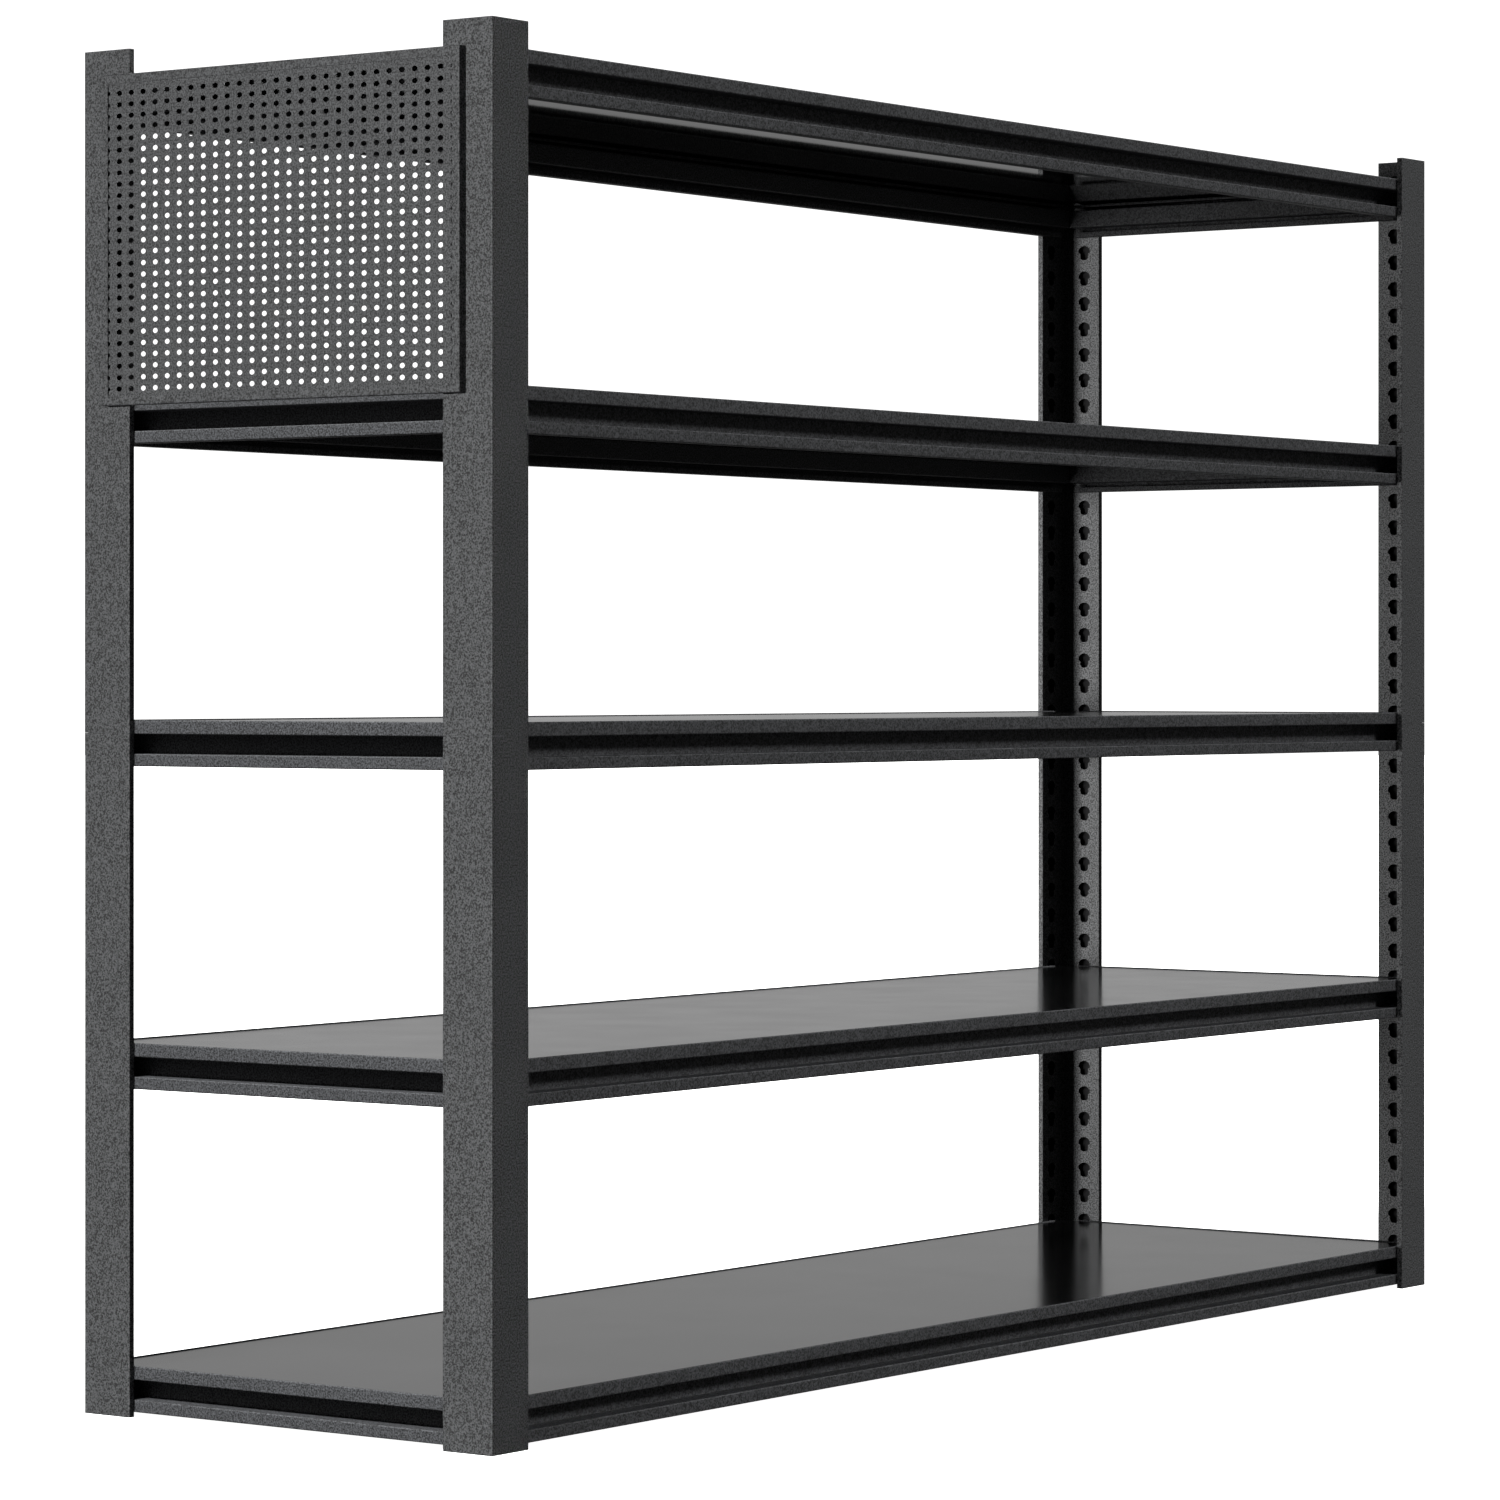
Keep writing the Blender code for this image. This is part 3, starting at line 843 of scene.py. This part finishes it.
class SHELVING_OT_stage(bpy.types.Operator):
    """Set up the pale floor, the soft light and the camera"""

    bl_idname = "shelving.stage"
    bl_label = "Set Stage"
    bl_options = {"REGISTER", "UNDO"}

    def execute(self, context):
        scene = context.scene
        scene.view_settings.view_transform = "Standard"
        self.add_floor(scene)
        self.add_sky(scene)
        self.add_lamps(scene)
        self.add_camera(scene)
        return {"FINISHED"}

    def add_floor(self, scene):
        """A wide white disc just under the unit, which glows enough to merge with the backdrop."""
        material, tree = new_material("Matt white floor paint")
        radius = 60.0
        gap = 0.2 * MM
        paint = (*scene.shelving_colours.floor, 1.0)
        shader = add_node(
            tree,
            "ShaderNodeBsdfPrincipled",
            [
                ("Base Color", paint),
                ("Roughness", 0.9),
                ("Specular IOR Level", 0.1),
                ("Emission Color", WHITE),
                ("Emission Strength", 1.05),
            ],
        )
        close_material(tree, shader)
        shape = bmesh.new()
        bmesh.ops.create_circle(shape, cap_ends=True, segments=96, radius=radius)
        mesh = bpy.data.meshes.new("floor")
        shape.to_mesh(mesh)
        shape.free()
        mesh.materials.append(material)
        floor = bpy.data.objects.new("floor", mesh)
        floor.location.z = CAD_BOX[0].z - gap
        scene.collection.objects.link(floor)
        floor.visible_diffuse = False
        floor.visible_glossy = False

    def add_sky(self, scene):
        """A white backdrop to look at, and a dim studio with a pale far wall that lights the unit."""
        world = bpy.data.worlds.new("Studio")
        scene.world = world
        world.use_nodes = True
        tree = world.node_tree
        tree.nodes.clear()
        way = add_node(tree, "ShaderNodeTexCoord").outputs["Generated"]
        height = add_node(tree, "ShaderNodeSeparateXYZ", [("Vector", way)]).outputs["Z"]
        far_side = (0.81, 0.587, 0.0)
        ahead = add_node(
            tree, "ShaderNodeVectorMath", [(0, way), (1, far_side)], operation="DOT_PRODUCT"
        ).outputs["Value"]
        wall = spread(tree, ahead, 0.0, 1.0, (0.45, 0.65), interpolation_type="SMOOTHSTEP")
        # The wall is brightest at the horizon, over a darker foot.
        wall_foot = 0.27
        wall_above = spread(tree, height, 0.58, 0.38, (0.01, 0.11))
        is_above = add_node(
            tree, "ShaderNodeMath", [(0, height), (1, 0.0)], operation="GREATER_THAN"
        ).outputs["Value"]
        wall_level = self.add_blend(tree, is_above, wall_foot, wall_above)
        # The rest of the room is dark, and a little less so towards the floor.
        room_level = spread(tree, height, 0.08, 0.05, (-0.3, 0.0))
        level = self.add_blend(tree, wall, room_level, wall_level)
        studio = add_node(tree, "ShaderNodeBackground", [("Color", WHITE), ("Strength", level)])
        backdrop = add_node(tree, "ShaderNodeBackground", [("Color", WHITE), ("Strength", 1.2)])
        seen = add_node(tree, "ShaderNodeLightPath").outputs["Is Camera Ray"]
        mixed = add_node(
            tree, "ShaderNodeMixShader", [(0, seen), (1, studio.outputs[0]), (2, backdrop.outputs[0])]
        )
        add_node(tree, "ShaderNodeOutputWorld", [("Surface", mixed.outputs[0])])

    def add_blend(self, tree, factor, one, two):
        """A value that goes from one to two as the factor goes from 0 to 1."""
        return add_node(tree, "ShaderNodeMix", [("Factor", factor), ("A", one), ("B", two)]).outputs["Result"]

    def add_sun(self, scene, name, towards, strength, degrees, lit=(), unlit=()):
        """A broad far lamp from a direction, on the lit pieces only or on all but the unlit ones."""
        lamp = bpy.data.lights.new(name, "SUN")
        lamp.energy = strength
        lamp.angle = radians(degrees)
        sun = bpy.data.objects.new(name, lamp)
        sun.rotation_euler = Vector(towards).to_track_quat("Z", "Y").to_euler()
        group = self.light_group(f"Receivers of {name}", lit or unlit, "INCLUDE" if lit else "EXCLUDE")
        sun.light_linking.receiver_collection = group
        scene.collection.objects.link(sun)
        return sun

    def light_group(self, name, pieces, state):
        """A light-linking collection that takes in some pieces, or leaves them out."""
        group = bpy.data.collections.new(name)
        for piece in pieces:
            group.objects.link(bpy.data.objects[piece])
        for member in group.collection_objects:
            member.light_linking.link_state = state
        return group

    def add_lamps(self, scene):
        """Two keys from the left, two fills on the front and two strips behind the unit."""
        posts = {
            corner: [f"post_{corner}_{half}_formed" for half in POST_HALVES] for corner in CORNERS
        }
        left_posts = posts["front_left"] + posts["rear_left"]
        right_posts = posts["front_right"] + posts["rear_right"]
        right_beams = [f"beam_right_{level}_rolled" for level in range(1, LEVELS + 1)]
        sheets = ["panel_frame_folded", "panel_sheet_punched"]
        hooks = ["panel_hook_front_bent", "panel_hook_rear_bent"]
        behind_panel = hooks + [f"beam_left_{LEVELS}_rolled"]
        # A level key for the flat left faces, so that what lies behind the panel's holes stays dark.
        self.add_sun(scene, "Left key, level", (-1.0, 0.0, 0.09), 4.35, 4, lit=left_posts + sheets)
        # A steep key for the beams, whose grooves stay dark under it. The panel lets it pass.
        unlit = left_posts + right_posts + sheets + behind_panel
        steep_key = self.add_sun(scene, "Left key, steep", (-0.66, 0.0, 0.74), 8.3, 8, unlit=unlit)
        steep_key.light_linking.blocker_collection = self.light_group(
            "No shadow from the steep key", sheets + hooks, "EXCLUDE"
        )
        fill_from = (0.314, -0.783, 0.536)
        self.add_sun(scene, "Front fill", fill_from, 1.7, 12, unlit=posts["rear_right"])
        low_fill_from = (-0.62, -0.75, 0.2)
        self.add_sun(scene, "Low fill, front right post", low_fill_from, 0.73, 4, lit=posts["front_right"])
        self.add_strip(scene, "Rear strip, posts", 78.0, right_posts)
        self.add_strip(scene, "Rear strip, beams", 18.0, right_beams)

    def add_strip(self, scene, name, power, pieces):
        """An upright strip light behind the unit, for the inner sides of some pieces at the right end."""
        middle = (CAD_BOX[0] + CAD_BOX[1]) / 2
        lamp = bpy.data.lights.new(name, "AREA")
        lamp.shape = "RECTANGLE"
        lamp.size, lamp.size_y = 0.6, 1.8
        lamp.energy = power
        strip = bpy.data.objects.new(name, lamp)
        strip.location = middle + Vector((-0.9, 1.25, 0.0))
        right_end = Vector((CAD_BOX[1].x, middle.y + 0.2, middle.z))
        aim = right_end - strip.location
        strip.rotation_euler = aim.to_track_quat("-Z", "Y").to_euler()
        strip.visible_camera = False
        strip.light_linking.receiver_collection = self.light_group(f"Lit by {name}", pieces, "INCLUDE")
        scene.collection.objects.link(strip)

    def add_camera(self, scene):
        """A long lens, held level in front of the left end, a little above the unit's half height."""
        middle = (CAD_BOX[0] + CAD_BOX[1]) / 2
        to_left, to_front, over_floor = 6.53925, 4.625, 0.975
        heading = radians(-54.04)
        data = bpy.data.cameras.new("Camera")
        data.lens = 131.5
        data.sensor_width = 36.0
        data.shift_y = -0.0493
        data.clip_start, data.clip_end = 0.1, 200.0
        camera = bpy.data.objects.new("Camera", data)
        camera.location = (middle.x - to_left, middle.y - to_front, CAD_BOX[0].z + over_floor)
        camera.rotation_euler = (radians(90), 0, heading)
        scene.collection.objects.link(camera)
        scene.camera = camera


class SHELVING_PT_sidebar(bpy.types.Panel):
    """Builds the unit and shows its sizes and colours"""

    bl_idname = "SHELVING_PT_sidebar"
    bl_label = "Shelving Unit"
    bl_space_type = "VIEW_3D"
    bl_region_type = "UI"
    bl_category = "Shelving"

    def draw(self, context):
        for operator in OPERATORS:
            self.layout.operator(operator.bl_idname)
        for group in (context.scene.shelving_sizes, context.scene.shelving_colours):
            box = self.layout.box()
            for name in group.bl_rna.properties.keys():
                if name not in ("rna_type", "name"):
                    box.prop(group, name)


OPERATORS = (
    SHELVING_OT_posts,
    SHELVING_OT_splices,
    SHELVING_OT_beams,
    SHELVING_OT_decks,
    SHELVING_OT_side_panel,
    SHELVING_OT_stage,
)
CLASSES = (ShelvingSizes, ShelvingColours, *OPERATORS, SHELVING_PT_sidebar)


def register():
    for cls in CLASSES:
        bpy.utils.register_class(cls)
    bpy.types.Scene.shelving_sizes = bpy.props.PointerProperty(type=ShelvingSizes)
    bpy.types.Scene.shelving_colours = bpy.props.PointerProperty(type=ShelvingColours)


def unregister():
    del bpy.types.Scene.shelving_colours
    del bpy.types.Scene.shelving_sizes
    for cls in reversed(CLASSES):
        bpy.utils.unregister_class(cls)


def main():
    register()
    bpy.ops.shelving.posts()
    bpy.ops.shelving.splices()
    bpy.ops.shelving.beams()
    bpy.ops.shelving.decks()
    bpy.ops.shelving.side_panel()
    bpy.ops.shelving.stage()


if __name__ == "__main__":
    main()
